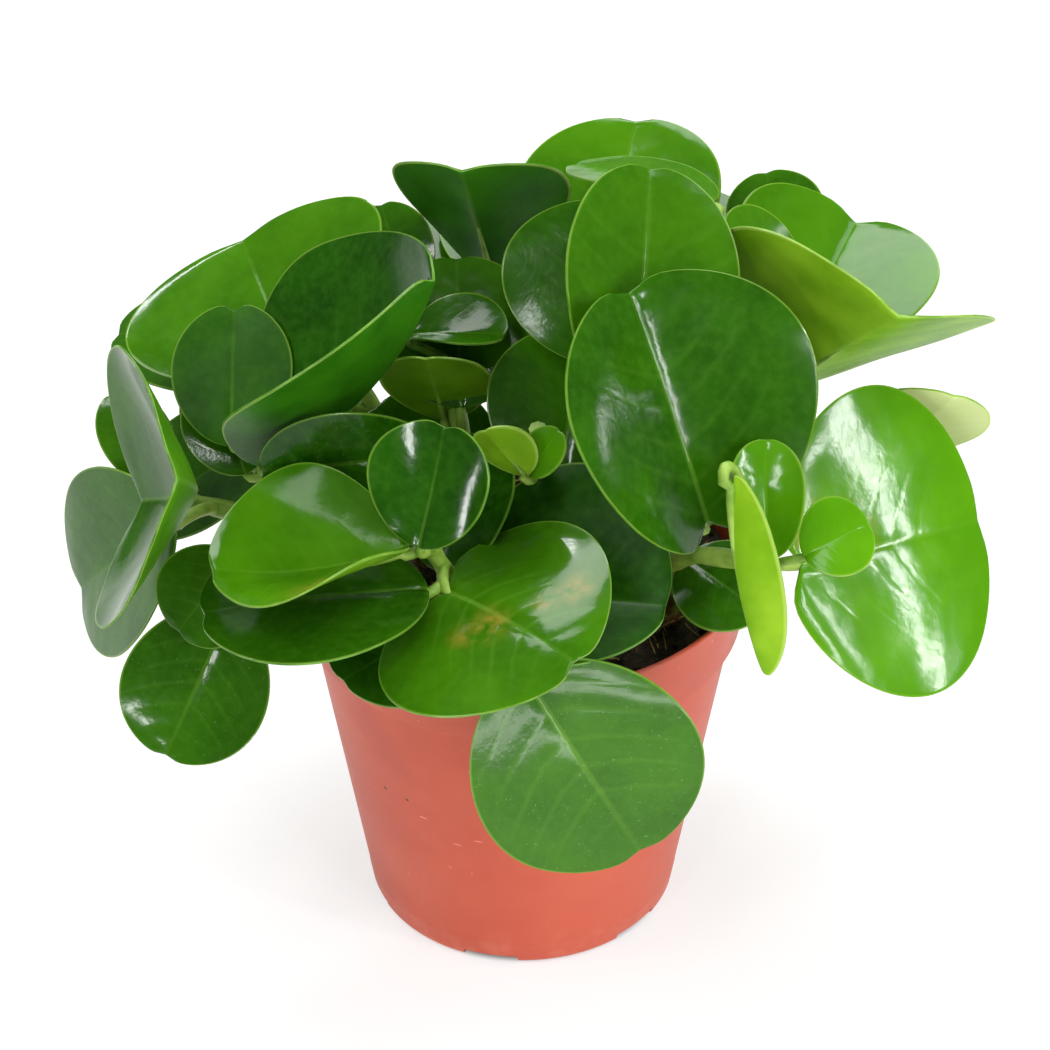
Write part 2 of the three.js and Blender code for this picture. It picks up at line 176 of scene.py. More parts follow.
lamp("soft box behind and above", (-174, 57), 1.5, (1.0, 0.6), 14)
lamp("soft box at the right", (98, 60), 1.5, (1.3, 0.7), 12)
lamp("window at the right", (59, 25), 1.5, (0.05, 0.6), 6)
lamp("window beside it", (44, 24), 1.5, (0.05, 0.25), 1.8)
lamp("pane above both", (49, 34), 1.5, (0.3, 0.05), 2.2)
lamp("pane at the far right", (105, 8), 1.5, (0.05, 0.08), 0.2)
lamp("window in front", (32, 23), 1.6, (0.04, 0.45), 3)
lamp("low pane in front", (-3, 6), 1.6, (0.12, 0.16), 2.4)
lamp("strip low in front", (16, -12), 0.36, (0.2, 0.02), 0.12)
lamp("window at the left", (-30, 33), 1.6, (0.1, 0.5), 4.2)
lamp("pane above it", (-12, 55), 1.6, (0.1, 0.25), 2)
lamp("low pane at the left", (-82, 9), 1.5, (0.1, 0.2), 2.2)
lamp("pane behind at the left", (-142, 44), 1.5, (0.6, 0.09), 5.5)
lamp("bounce from the left wall", (-75, 55), 1.6, (0.9, 0.5), 7)
print("lamps:", len(bpy.data.lights))

# %% [markdown]
# A material's pattern is maths on values that change over the surface. Written as nodes it is
# hard to read, so one small class wraps a node's socket and lets Python's own signs add the
# Math nodes. Any other node comes from one method, which sets the node's choices first and then
# its inputs. Colours are mixed by a Mix node, because a Math node would turn them grey.


# %% Sockets that can be added and multiplied
class Socket:
    """One output of a material's node."""

    def __init__(self, paint, output):
        self.paint = paint
        self.output = output

    def maths(self, operation, *values):
        inputs = dict(enumerate(values))
        return self.paint.node("ShaderNodeMath", {"operation": operation}, inputs)

    def __add__(self, other):
        return self.maths("ADD", self, other)

    def __sub__(self, other):
        return self.maths("SUBTRACT", self, other)

    def __rsub__(self, other):
        return self.maths("SUBTRACT", other, self)

    def __mul__(self, other):
        return self.maths("MULTIPLY", self, other)

    def __pow__(self, other):
        return self.maths("POWER", self, other)

    def __abs__(self):
        return self.maths("ABSOLUTE", self)

    def saw(self, width):
        """The distance to the nearest whole multiple of a width."""
        return self.maths("PINGPONG", self, width / 2)

    def between(self, low, high):
        """0 below low, 1 above high, and a smooth step from one to the other."""
        settings = {"interpolation_type": "SMOOTHSTEP"}
        return self.paint.node("ShaderNodeMapRange", settings, {0: self, 1: low, 2: high})

    __radd__ = __add__
    __rmul__ = __mul__


class Paint:
    """A material with its shader."""

    def __init__(self, name, **constants):
        self.material = bpy.data.materials.new(name)
        self.material.use_nodes = True
        self.tree = self.material.node_tree
        self.shader = self.tree.nodes["Principled BSDF"]
        for socket, value in constants.items():
            self.set(socket.replace("_", " "), value)

    def feed(self, socket, value):
        if isinstance(value, Socket):
            self.tree.links.new(value.output, socket)
        else:
            socket.default_value = value

    def set(self, name, value):
        self.feed(self.shader.inputs[name], value)

    def node(self, kind, settings=None, inputs=None, output=0):
        made = self.tree.nodes.new(kind)
        for name, value in (settings or {}).items():
            setattr(made, name, value)
        for name, value in (inputs or {}).items():
            self.feed(made.inputs[name], value)
        return Socket(self, made.outputs[output])

    def place(self):
        """Where a point of the piece is, in metres."""
        return self.node("ShaderNodeTexCoord", output="Object")

    def axis(self, vector, letter):
        return self.node("ShaderNodeSeparateXYZ", inputs={0: vector}, output=letter)

    def off_axis(self):
        """The square of a point's distance from the upright axis."""
        return self.axis(self.place(), "X") ** 2 + self.axis(self.place(), "Y") ** 2

    def vector_maths(self, operation, *values, output=0):
        settings = {"operation": operation}
        return self.node("ShaderNodeVectorMath", settings, dict(enumerate(values)), output)

    def attribute(self, name):
        return self.node("ShaderNodeAttribute", {"attribute_name": name}, output="Fac")

    def noise(self, size, detail, roughness=0.5):
        """Soft noise from 0 to 1 with blobs of this size."""
        inputs = {
            "Vector": self.place(),
            "Scale": 1 / (size * MM),
            "Detail": detail,
            "Roughness": roughness,
        }
        return self.node("ShaderNodeTexNoise", inputs=inputs)

    def mix(self, share, first, second):
        """One colour where share is 0 and another where it is 1."""
        return self.node("ShaderNodeMix", {"data_type": "RGBA"}, {0: share, 6: first, 7: second}, 2)

    def finish(self, main, roughness, height, depth, strength):
        """Set colour, roughness and a relief of this depth, and return the material."""
        inputs = {"Strength": strength, "Distance": depth * MM, "Height": height}
        self.set("Normal", self.node("ShaderNodeBump", inputs=inputs))
        self.set("Base Color", main)
        self.set("Roughness", roughness)
        return self.material


# %% [markdown]
# The floor glows a little, to stay as pale as in the photograph. Under the pot, where no light
# comes in, its glow and its colour are painted dark as a painted shadow, and the drain notches
# open on that painted shadow.

# %% Pale floor
dark_radius = 38 * MM
pale_radius = 42 * MM

floor_paint = Paint("pale floor", Roughness=0.9, Emission_Strength=0.66)
# Painted shadow: under the pot the floor's glow turns black and its colour a dark grey-brown.
painted_shadow_under_pot = 1 - floor_paint.off_axis().between(dark_radius ** 2, pale_radius ** 2)
floor_paint.set("Emission Color", floor_paint.mix(painted_shadow_under_pot, colour(255, 255, 255), colour(0, 0, 0)))
floor_paint.set("Base Color", floor_paint.mix(painted_shadow_under_pot, colour(160, 160, 160), colour(70, 62, 60)))
floor.data.materials.append(floor_paint.material)
print("materials so far:", len(bpy.data.materials))

# %% [markdown]
# The pot is injection moulded in one shot, so it is a thin even shell: a flat bottom with a
# round corner, a straight taper, and a collar that steps out where the next pot stacks. It
# could be a lathed profile, but raising one ring of edges by extrusion is how it would be drawn
# by hand, and every ring stays a true circle with enough sides to look round. The parting line
# of the mould runs faintly round the wall, a little above the floor.

# %% Pot shell
_, pot_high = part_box("pot")
pot_height = pot_high.z
rim_radius = 60 * MM
base_radius = 42 * MM
wall = 1.5 * MM
collar_low = pot_height - 18 * MM
collar_radius = rim_radius - 1.6 * MM
body_top = collar_radius - 2 * MM
corner = 3 * MM
corner_steps = 5
seam = 7.5 * MM
seam_step = 0.1 * MM
pot_sides = 144


def outer_at(z):
    return base_radius + (body_top - base_radius) * z / collar_low


def pot_rings():
    """The rings of the shell as radius and height, from the floor up and back inside."""
    rings = []
    for step in range(1, corner_steps + 1):
        turn = step / corner_steps * math.pi / 2
        rings.append((
            outer_at(corner) - corner * (1 - math.sin(turn)),
            corner * (1 - math.cos(turn)),
        ))
    for z in (seam, seam + 0.3 * MM):
        rings.append((outer_at(z), z))
    for z in (seam + 0.8 * MM, 0.3 * collar_low, 0.6 * collar_low, collar_low - 0.4 * MM):
        rings.append((outer_at(z) - seam_step, z))
    rings += [
        (body_top + 0.5 * MM, collar_low),
        (collar_radius - 0.4 * MM, collar_low + 0.3 * MM),
        (collar_radius, collar_low + 0.9 * MM),
        (rim_radius - 0.25 * MM, pot_height - 1.1 * MM),
        (rim_radius - 0.1 * MM, pot_height - 0.5 * MM),
        (rim_radius - 0.4 * MM, pot_height - 0.1 * MM),
        (rim_radius - 0.8 * MM, pot_height),
        (rim_radius - 1.2 * MM, pot_height - 0.1 * MM),
        (rim_radius - wall, pot_height - 0.5 * MM),
        (collar_radius - wall, collar_low + 3 * MM),
        (body_top - wall, collar_low + MM),
        (outer_at(collar_low / 2) - wall, collar_low / 2),
        (outer_at(wall) - wall, wall),
    ]
    return rings


def raise_shell():
    deselect()
    start = outer_at(corner) - corner
    bpy.ops.mesh.primitive_circle_add(vertices=pot_sides, radius=start, fill_type="NGON")
    shell = bpy.context.object
    bpy.ops.object.mode_set(mode="EDIT")
    bpy.ops.mesh.select_mode(type="EDGE")
    bpy.ops.mesh.select_all(action="SELECT")
    bpy.ops.mesh.region_to_loop()
    radius, height = start, 0
    for next_radius, next_height in pot_rings():
        bpy.ops.mesh.extrude_region_move()
        scale = next_radius / radius
        bpy.ops.transform.resize(value=(scale, scale, 1), center_override=(0, 0, 0))
        bpy.ops.transform.translate(value=(0, 0, next_height - height))
        radius, height = next_radius, next_height
    bpy.ops.mesh.edge_face_add()
    bpy.ops.mesh.select_all(action="SELECT")
    bpy.ops.mesh.normals_make_consistent(inside=False)
    bpy.ops.object.mode_set(mode="OBJECT")
    return shell


pot = raise_shell()
print("pot shell faces:", faces_of(pot))

# %% [markdown]
# Water leaves through holes in the bottom and runs out along six shallow channels. Each one
# ends in a notch at the foot of the wall, and one of these notches shows in the photograph. They
# are cut with boxes and pegs by a Boolean modifier, after the roof of each channel is joined on.

# %% Drain channels
first_channel = 258
channel_count = 6
channel_width = 15 * MM
channel_height = 3 * MM
channel_start = 22 * MM
channel_end = base_radius + 6 * MM
hole_radius = 3 * MM
hole_at = 29 * MM


def channel_box(degrees, near, far, width, low, high):
    """A box along a radius of the pot."""
    turn = math.radians(degrees)
    middle = (near + far) / 2
    bpy.ops.mesh.primitive_cube_add(
        size=1,
        location=(middle * math.cos(turn), middle * math.sin(turn), (low + high) / 2),
        rotation=(0, 0, turn),
        scale=(far - near, width, high - low),
    )
    return bpy.context.object


def peg(degrees):
    turn = math.radians(degrees)
    bpy.ops.mesh.primitive_cylinder_add(
        vertices=32,
        radius=hole_radius,
        depth=2 * channel_height,
        location=(hole_at * math.cos(turn), hole_at * math.sin(turn), channel_height + wall),
    )
    return bpy.context.object


def carve(target, tools, operation):
    """Join or cut each tool, and remove it."""
    for tool in tools:
        apply_modifier(target, "BOOLEAN", object=tool, operation=operation, solver="EXACT")
        bpy.data.objects.remove(tool)


channels = [first_channel + i * 360 / channel_count for i in range(channel_count)]
roof_low, roof_high = 1.2 * MM, channel_height + wall


def inner_plug():
    """A cone that ends halfway through the wall, so that no roof comes out of it."""
    bpy.ops.mesh.primitive_cone_add(
        vertices=pot_sides,
        radius1=outer_at(roof_low) - 0.8 * MM,
        radius2=outer_at(roof_high) - 0.7 * MM,
        depth=roof_high - roof_low,
        location=(0, 0, (roof_low + roof_high) / 2),
    )
    return bpy.context.object


roofs = []
for a in channels:
    roof = channel_box(a, channel_start - wall, channel_end, channel_width + 2 * wall,
                       -MM, roof_high + MM)
    carve(roof, [inner_plug()], "INTERSECT")
    roofs.append(roof)
carve(pot, roofs, "UNION")
cuts = [
    channel_box(a, channel_start, channel_end, channel_width, -MM, channel_height)
    for a in channels
]
for cut in cuts:
    apply_modifier(cut, "BEVEL", width=0.5 * MM, segments=3)
carve(pot, cuts + [peg(a) for a in channels], "DIFFERENCE")
print("pot with its channels:", faces_of(pot))

# %% [markdown]
# The plastic is coloured all through and only half glossy. It has a fine moulded grain, faint
# cloudy streaks from the mould, tiny pale specks, two dark nicks and a few pale scratches at the
# front, which are placed where the photograph shows them. Its foot is a little dusty, and the
# insides of the channels are painted dark, as painted shade.

# %% Pot plastic
nicks = [((-36.2, -36.1, 57.1), (0.7, 0.7, 0.75)), ((-30.3, -41.2, 57.3), (0.7, 0.7, 0.6))]
scratches = [
    ((-26.1, -43.2, 52.8), (1.7, 1.7, 0.4)),
    ((-17.2, -46.3, 46.2), (1.6, 1.6, 0.35)),
    ((-11.6, -48.5, 49.1), (1.6, 1.6, 0.35)),
]
dust_height = 16 * MM
channel_mouth = 39.6 * MM


def spot(paint, centre, radii):
    """1 at a point of the piece, fading to 0 at these radii along X, Y and Z."""
    centre, radii = ([value * MM for value in values] for values in (centre, radii))
    offset = paint.vector_maths("SUBTRACT", paint.place(), centre)
    shares = paint.vector_maths("DIVIDE", offset, radii)
    return 1 - paint.vector_maths("LENGTH", shares, output="Value").between(0.5, 1)


def plastic():
    paint = Paint("terracotta plastic", IOR=1.46)
    cloud = paint.noise(34, 3)
    streak = paint.noise(9, 2)
    main = paint.mix(cloud.between(0.3, 0.7), colour(187, 74, 48), colour(197, 85, 58))
    speck = paint.noise(1.6, 1).between(0.76, 0.8)
    main = paint.mix(speck * 0.5, main, colour(232, 140, 110))
    scratch = sum(spot(paint, *place) for place in scratches)
    main = paint.mix(scratch * 0.55, main, colour(236, 160, 136))
    nick = sum(spot(paint, *place) for place in nicks)
    main = paint.mix(nick, main, colour(96, 28, 16))
    height = paint.axis(paint.place(), "Z")
    radius = paint.off_axis() ** 0.5
    dust = (1 - height.between(0, dust_height)) * paint.noise(5, 3).between(0.4, 0.75)
    main = paint.mix(dust * 0.25, main, colour(226, 138, 112))
    # Painted shade: below the channel roofs and inside the channel mouths the plastic is painted dark.
    low = 1 - height.between(channel_height, channel_height + 0.3 * MM)
    inside = 1 - radius.between(channel_mouth - MM, channel_mouth)
    main = paint.mix(low * inside * 0.8, main, colour(70, 34, 26))
    grain = paint.noise(0.45, 2)
    roughness = 0.42 + streak * 0.1 + scratch * 0.1
    return paint.finish(main, roughness, grain * 0.6 + streak - nick * 3, 0.05, 0.5)


pot.data.materials.clear()
pot.data.materials.append(plastic())
only(pot)
bpy.ops.object.shade_smooth_by_angle(angle=math.radians(32))
settle(pot, "nursery_pot")
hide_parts("pot")
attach(pot, "root")
print("pot faces:", faces_of(pot))

# %% [markdown]
# The soil is damp black peat, pressed level a little below the rim. Its top is one uneven
# surface, made from a disc that is inset into rings and pushed up and down by noise, with
# crumbs of many sizes and straw-coloured fibres scattered on it. The crumbs are one small
# rough ball, copied, turned and stretched by a seeded draw.

# %% Soil block
soil_level = 100 * MM
soil_bottom = 5.2 * MM
soil_gap = 0.3 * MM
soil_radius = collar_radius - wall - soil_gap
soil_sides = 96
soil_rings = 22
roll_height = 1.0
clod_size, clod_height = 5.0, 0.9
lump_size, lump_height = 2.1, 0.5
top_lift = 0.01 * MM


def soil_height(x, y):
    """The height of the soil's top at a place."""
    x, y = x / MM, y / MM
    roll = 0.5 * math.sin(0.21 * x + 1.3) * math.cos(0.17 * y) + 0.5 * math.sin(0.09 * x - 0.24 * y)
    clod = noise.noise(Vector((x, y, 0)) / clod_size)
    lump = noise.noise(Vector((x, y, 9)) / lump_size)
    return soil_level + (roll_height * roll + clod_height * clod + lump_height * lump) * MM


def soil_block():
    deselect()
    bpy.ops.mesh.primitive_circle_add(
        vertices=soil_sides, radius=soil_radius, fill_type="NGON", location=(0, 0, soil_level))
    block = bpy.context.object
    bpy.ops.object.transform_apply(location=True)
    bpy.ops.object.mode_set(mode="EDIT")
    bpy.ops.mesh.select_all(action="SELECT")
    bpy.ops.mesh.extrude_region_move()
    bpy.ops.transform.translate(value=(0, 0, top_lift))
    for _ in range(soil_rings):
        bpy.ops.mesh.inset(thickness=soil_radius / (soil_rings + 1), use_even_offset=False)
    bpy.ops.mesh.poke()
    bpy.ops.object.mode_set(mode="OBJECT")
    scale = (outer_at(soil_bottom) - wall - soil_gap) / soil_radius
    for vertex in block.data.vertices:
        if vertex.co.z > soil_level + top_lift / 2:
            vertex.co.z = soil_height(vertex.co.x, vertex.co.y)
        else:
            vertex.co = (vertex.co.x * scale, vertex.co.y * scale, soil_bottom)
    return block


soil = soil_block()
print("soil block faces:", faces_of(soil))

# %% Crumbs
crumb_count = 900
crumb_shares = (0.35, 1.0)
crumb_stretch = (0.6, 1.2)
largest_crumb = 1.9
crumb_bumps, crumb_roughness = 2.3, 0.35
crumb_margin = 2 * MM
any_turn = (0, 6.28)


def crumb_model():
    """One small rough ball."""
    deselect()
    bpy.ops.mesh.primitive_ico_sphere_add(subdivisions=1, radius=1)
    ball = bpy.context.object
    for vertex in ball.data.vertices:
        vertex.co *= 1 + crumb_roughness * noise.noise(vertex.co * crumb_bumps)
    return ball


def scatter(model, count, place_one):
    """Copy a model many times, each copy with its own mesh."""
    copies = []
    for _ in range(count):
        copy = add_object("copy", model.data.copy())
        place_one(copy)
        copies.append(copy)
    bpy.data.objects.remove(model)
    return copies


def join(pieces, name):
    deselect()
    for piece in pieces:
        piece.select_set(True)
    bpy.context.view_layer.objects.active = pieces[0]
    bpy.ops.object.join()
    return settle(pieces[0], name)


def somewhere_on_soil():
    radius = (soil_radius - crumb_margin) * math.sqrt(draw.random())
    turn = draw.uniform(0, 2 * math.pi)
    x, y = radius * math.cos(turn), radius * math.sin(turn)
    return Vector((x, y, soil_height(x, y)))


def place_crumb(copy):
    size = draw.uniform(*crumb_shares) ** 2 * largest_crumb * MM
    copy.location = somewhere_on_soil() + Vector((0, 0, 0.1 * size))
    copy.rotation_euler = [draw.uniform(*any_turn) for _ in range(3)]
    copy.scale = [size * draw.uniform(*crumb_stretch) for _ in range(3)]


crumbs = scatter(crumb_model(), crumb_count, place_crumb)
print("crumbs:", len(crumbs))

# %% Fibres
fibre_count = 110
fibre_rings = 5
fibre_length = (3, 12)
fibre_radius = (0.12, 0.28)
fibre_curl = (-0.35, 0.35)
fibre_tilt = (-0.2, 0.2)
fibre_limit = soil_radius - MM
fibre_lift = Vector((0, 0, 0.9 * MM))


def fibre_model():
    """A thin three-sided straw, one unit long, with a few rings so that it can curl."""
    deselect()
    bpy.ops.mesh.primitive_cylinder_add(
        vertices=3, radius=1, depth=1, rotation=(0, math.pi / 2, 0), end_fill_type="TRIFAN")
    straw = bpy.context.object
    bpy.ops.object.transform_apply(rotation=True)
    bpy.ops.object.mode_set(mode="EDIT")
    bpy.ops.mesh.select_all(action="DESELECT")
    bpy.ops.object.mode_set(mode="OBJECT")
    for edge in straw.data.edges:
        ends = [straw.data.vertices[i].co.x for i in edge.vertices]
        edge.select = abs(ends[0] - ends[1]) > 0.5
    bpy.ops.object.mode_set(mode="EDIT")
    bpy.ops.mesh.subdivide(number_cuts=fibre_rings - 1)
    bpy.ops.object.mode_set(mode="OBJECT")
    return straw


def place_fibre(copy):
    length = draw.uniform(*fibre_length) * MM
    radius = draw.uniform(*fibre_radius) * MM
    curl = draw.uniform(*fibre_curl)
    for vertex in copy.data.vertices:
        x = vertex.co.x
        vertex.co = (x * length, vertex.co.y * radius, vertex.co.z * radius)
        vertex.co.y += curl * length * (x * x - 0.25)
    place = somewhere_on_soil()
    if fibre_limit - place.xy.length < length / 2:
        place.xy *= (fibre_limit - length / 2) / place.xy.length
    copy.location = place + fibre_lift
    copy.rotation_euler = (0, draw.uniform(*fibre_tilt), draw.uniform(*any_turn))


fibres = scatter(fibre_model(), fibre_count, place_fibre)
print("fibres:", len(fibres))


# %% Peat and straw
def peat():
    paint = Paint("damp peat")
    cloud = paint.noise(4, 4, 0.6)
    speck = paint.noise(0.9, 2).between(0.62, 0.72)
    main = paint.mix(cloud.between(0.35, 0.68), colour(24, 18, 12), colour(66, 48, 32))
    main = paint.mix(speck * 0.6, main, colour(120, 96, 66))
    return paint.finish(main, 0.78 + 0.2 * cloud, paint.noise(0.8, 3, 0.6), 0.5, 0.8)


def straw():
    paint = Paint("straw fibre")
    tone = paint.noise(6, 2)
    main = paint.mix(tone.between(0.3, 0.7), colour(104, 74, 40), colour(190, 156, 100))
    return paint.finish(main, 0.7, paint.noise(0.5, 2), 0.05, 0.6)


peat_look = peat()
straw_look = straw()
for piece in [soil, *crumbs]:
    piece.data.materials.clear()
    piece.data.materials.append(peat_look)
for piece in fibres:
    piece.data.materials.append(straw_look)
soil = join([soil, *crumbs, *fibres], "potting_soil")
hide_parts("soil")
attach(soil, "root")
print("soil faces:", faces_of(soil))

# %% [markdown]
# The leaves are the plant. Each is a thick shallow shell with a groove over its midrib, a thin
# pale edge and a notch at the tip, and no two sit alike. One flat blade is modelled, and then
# each leaf is a copy whose points are bent by the same few measures as in the frame: where it
# starts, which way the midrib runs, and how it folds, arches and cups. The measures are
# millimetres and degrees. Each leaf is a little smaller than the frame's, so that its swollen
# flesh stays inside the frame's box.

# %% What a leaf is
shorter = 0.985
narrower = 0.98
usual_tip_share = 0.6


@dataclass
class Leaf:
    """A leaf's base, its heading, pitch and roll, its length and width, and what is unusual."""

    base: tuple
    turn: tuple
    size: tuple
    fold: float = 10
    tip_fold: float | None = None
    arch: float = 8
    cup: float = 0
    notch: float = 0.05
    taper: float = 0.1
    lobe: float = 0
    young: float | None = None
    veined: float = 0.2
    dust: float = 0
    dull: bool = False
    stalk_from: float = 0
    marks: tuple = ()

    def __post_init__(self):
        self.long = self.size[0] * shorter
        self.wide = self.size[1] * narrower
        if self.tip_fold is None:
            self.tip_fold = self.fold * usual_tip_share


@dataclass
class Shoot:
    """A shoot's foot on the soil, the later points of its stem, and its leaves."""

    foot: tuple
    stem: list
    leaves: list


# %% [markdown]
# A shoot is a foot, a stem and its leaves. Young leaves are a lighter, yellower green. A few
# leaves carry dust or golden sun marks, and two old ones have lost their gloss. A mark is its
# place on the blade, as shares of its length and of its half width, with its radius and its
# strength. A few broad leaves show their side veins clearly, and most others hardly do. One stalk
# leaves its stem at a given height, and the stem of the shoot at the right front runs a little
# apart from the frame's, so that neither crosses a leaf.

# %% Where the leaves grow
shoots = {
    "front": Shoot((-12, -34), [(-15, -38, 120), (-22, -46, 141)], [
        Leaf((-25, -56, 149), (60, 65, -10), (31, 34), fold=12, arch=-16, cup=28, notch=0.1, taper=0.2,
             young=0, veined=0.1),
        Leaf((-27, -54, 147), (-170, 0, 0), (49, 61), fold=40, tip_fold=4, arch=-40, cup=20, young=0.5,
             marks=[(0.5, 0.85, 0.16, 0.8), (0.2, 0.3, 0.12, 0.5)]),
        Leaf((-23, -54, 135), (-171, -1, -6), (56, 64), fold=2),
        Leaf((-18, -55, 135), (-46, 3, -20), (44, 62), fold=-4, arch=22, notch=0.1, taper=-0.1,
             lobe=0.45, young=0.35, veined=0.5, marks=[(0.43, -0.1, 0.09, 0.8),
             (0.36, -0.27, 0.07, 0.5), (0.68, 0.55, 0.08, 0.7), (0.61, 0.33, 0.06, 0.5)]),
        Leaf((1, -78, 126), (-10, -60, -70), (58, 58), fold=4, lobe=0.1, young=0.3, veined=0.5,
             dust=0.7),
        Leaf((-18, -42, 117), (-145, -10, 10), (33, 38), fold=0, veined=0.4),
        Leaf((-16, -35, 118), (-18, 10, -20), (56, 72), fold=30, tip_fold=26, young=0, dull=True),
        Leaf((-21, -29.5, 159), (182, -5, 80), (44, 28), fold=2, young=0, dust=0.5),
        Leaf((-21, -34, 126), (55, 52, 15), (36, 38), young=0),
    ]),
    "left_front": Shoot((-36, -22), [(-46, -26, 116), (-58, -30, 126)], [
        Leaf((-75, -28, 109), (-130, -50, 35), (41, 39), fold=8, veined=0.35, dust=0.4),
        Leaf((-72, -30, 128), (-160, -50, 40), (26, 28), fold=5, veined=0.35),
    ]),
    "left": Shoot((-42, 2), [(-62, -2, 118), (-92, -2, 127)], [
        Leaf((-97, -10, 131), (-72, 38, -77), (64, 84), fold=36, arch=-60, cup=10),
        Leaf((-89, -14, 127), (140, -45, 68), (56, 52), fold=16, notch=0.08, dust=0.5),
        Leaf((-93, 5, 126), (145, 52, 55), (28, 20), fold=5, young=0.3),
    ]),
    "upper_left": Shoot((-26, 6), [(-40, 4, 124), (-62, -2, 152)], [
        Leaf((-59, 14, 156.5), (112, 22, 28), (44, 78), fold=16, young=0.35, veined=0),
        Leaf((-67, -10.5, 141.5), (-4, 51, 3), (75, 96), fold=48, tip_fold=28, arch=-45, notch=0.12,
             taper=0, young=0),
        Leaf((-74, -8.5, 147), (90, 45, 5), (36, 32), fold=8, notch=0.12, veined=0, dull=True),
        Leaf((-71, -8, 138), (112, 40, 20), (27, 26), fold=15),
        Leaf((-70, 4, 132), (115, 45, 20), (30, 30), fold=5),
    ]),
    "centre_left": Shoot((-10, 8), [(-14, 8, 130), (-20, 12, 160)], [
        Leaf((-8, 50.5, 160), (-112, 65, -12), (49, 54), fold=38, tip_fold=20, young=0, veined=0.1),
        Leaf((-30, 44, 159), (112, 40, 15), (28, 22), fold=5, marks=[(0.3, 0.2, 0.1, 0.4)]),
        Leaf((-16, 5, 150), (92, 45, 5), (40, 42), fold=0),
        Leaf((-29, 14, 165), (-15, 10, 0), (26, 28), fold=32),
        Leaf((-20, 11, 142), (-105, 60, -10), (34, 30), young=0.5),
        Leaf((-14, -4, 123), (140, 30, 8), (38, 47)),
    ]),
    "centre": Shoot((4, -4), [(4, -5, 130), (4, -14, 156)], [
        Leaf((9, -20, 142), (78, 42, -11), (42, 44), fold=0),
        Leaf((1, -34, 155), (-160, 55, -60), (19, 16), fold=20, young=0.8),
        Leaf((2, -32, 154), (20, 55, -30), (14, 12), fold=20, young=0.7),
    ]),
    "centre_right": Shoot((24, -2), [(32, -6, 128), (40, -12, 156)], [
        Leaf((27, -27, 166), (84, 48, -24), (65, 49), fold=22, tip_fold=16, notch=0.04, young=0.3),
        Leaf((45, -41, 146), (130, 60, 5), (61, 77), fold=26, tip_fold=20, notch=0.1, taper=0.12,
             lobe=0.2, young=0.08, veined=0.3),
        Leaf((18, -4, 169), (85, 48, -4), (42, 50), fold=0),
    ]),
    "right_front": Shoot((38, -20), [(41, -22, 122), (62, -48, 138)], [
        Leaf((59.5, -53, 143), (90, 55, 0), (30, 21), fold=15, cup=25, notch=0.02, young=0.7),
        Leaf((69, -51, 143), (10, 25, -40), (18, 22), fold=24, notch=0.02, young=1),
        Leaf((49.5, -54, 169), (-70, -65, 80), (51, 26), fold=56, tip_fold=60, arch=-24, young=1),
        Leaf((71, -24, 121), (25, -2, -55), (54, 82), fold=0, arch=14, lobe=0.2, young=0.95, veined=0.3,
             stalk_from=130, marks=[(0.08, 0.2, 0.09, 0.8), (0.3, 0.12, 0.1, 0.6)]),
        Leaf((42, -18, 119), (-45, -10, -20), (27, 28), fold=5),
    ]),
    "right_top": Shoot((34, 16), [(50, 18, 130), (70, 18, 158)], [
        Leaf((67, 17, 152), (62, 25, -16), (52, 60), fold=28, tip_fold=28, notch=0.1, taper=0.35,
             young=0.5),
        Leaf((72, 29, 170.5), (-155, 46, 28), (34, 26), fold=30, young=0.5),
        Leaf((67, 16, 148), (-55, 45, 38), (62, 85), fold=32, tip_fold=24, taper=0.12, young=0.7),
        Leaf((70.5, 51, 166.5), (105, 40, 14), (26, 27), fold=5),
    ]),
    "top": Shoot((8, 24), [(14, 28, 140), (22, 32, 170)], [
        Leaf((22, 50, 156.5), (77, 38, 8), (52, 59), fold=12, young=0.45),
        Leaf((50, 43, 189.5), (150, -2, -14), (42, 34), fold=8, young=0.5),
        Leaf((22, 10, 160), (90, 43, 0), (42, 50), fold=0),
    ]),
    "right": Shoot((42, 4), [(52, 8, 116), (84, 22, 120)], [
        Leaf((101, 37, 115), (-61, 53, 33), (40, 34), fold=4, young=1.2),
        Leaf((90, 27, 112), (30, -25, 0), (38, 42)),
    ]),
    "back_left": Shoot((-26, 30), [(-36, 38, 118), (-46, 46, 136)], [
        Leaf((-60, 48, 132), (172, 10, 0), (52, 54)),
        Leaf((-51, 58, 130), (122, -5, 0), (50, 54)),
        Leaf((-56, 56, 122), (140, -40, 0), (50, 52)),
        Leaf((-38, 56, 140), (100, 20, 0), (46, 48)),
        Leaf((-62, 36, 126), (200, -28, 0), (50, 52)),
    ]),
    "back": Shoot((2, 44), [(2, 52, 122), (4, 62, 142)], [
        Leaf((4, 74, 144), (90, 5, 0), (46, 54)),
        Leaf((-8, 70, 136), (122, -25, 0), (48, 50)),
        Leaf((14, 72, 130), (78, -22, 0), (48, 50)),
        Leaf((0, 66, 145), (95, 22, 0), (42, 44)),
        Leaf((6, 74, 124), (85, -55, 0), (46, 48)),
    ]),
    "back_right": Shoot((28, 34), [(38, 40, 118), (50, 48, 136)], [
        Leaf((60, 54, 140), (40, 5, 0), (52, 56)),
        Leaf((54, 60, 138), (62, -5, 0), (50, 50)),
        Leaf((58, 54, 122), (42, -40, 0), (46, 48)),
        Leaf((42, 58, 148), (85, 20, 0), (42, 44)),
    ]),
}
print("leaves:", sum(len(plan.leaves) for plan in shoots.values()))

# %% [markdown]
# A flat blade comes first. It is a grid that is given its thickness by Solidify, which also
# gives the under side and the edge a material of their own. Rows of the grid will run from the
# midrib out to the edge, and the columns crowd together at the midrib and at the edge, where
# the blade has its fine shape.

# %% The flat blade
blade_rows = 44
blade_columns = 22


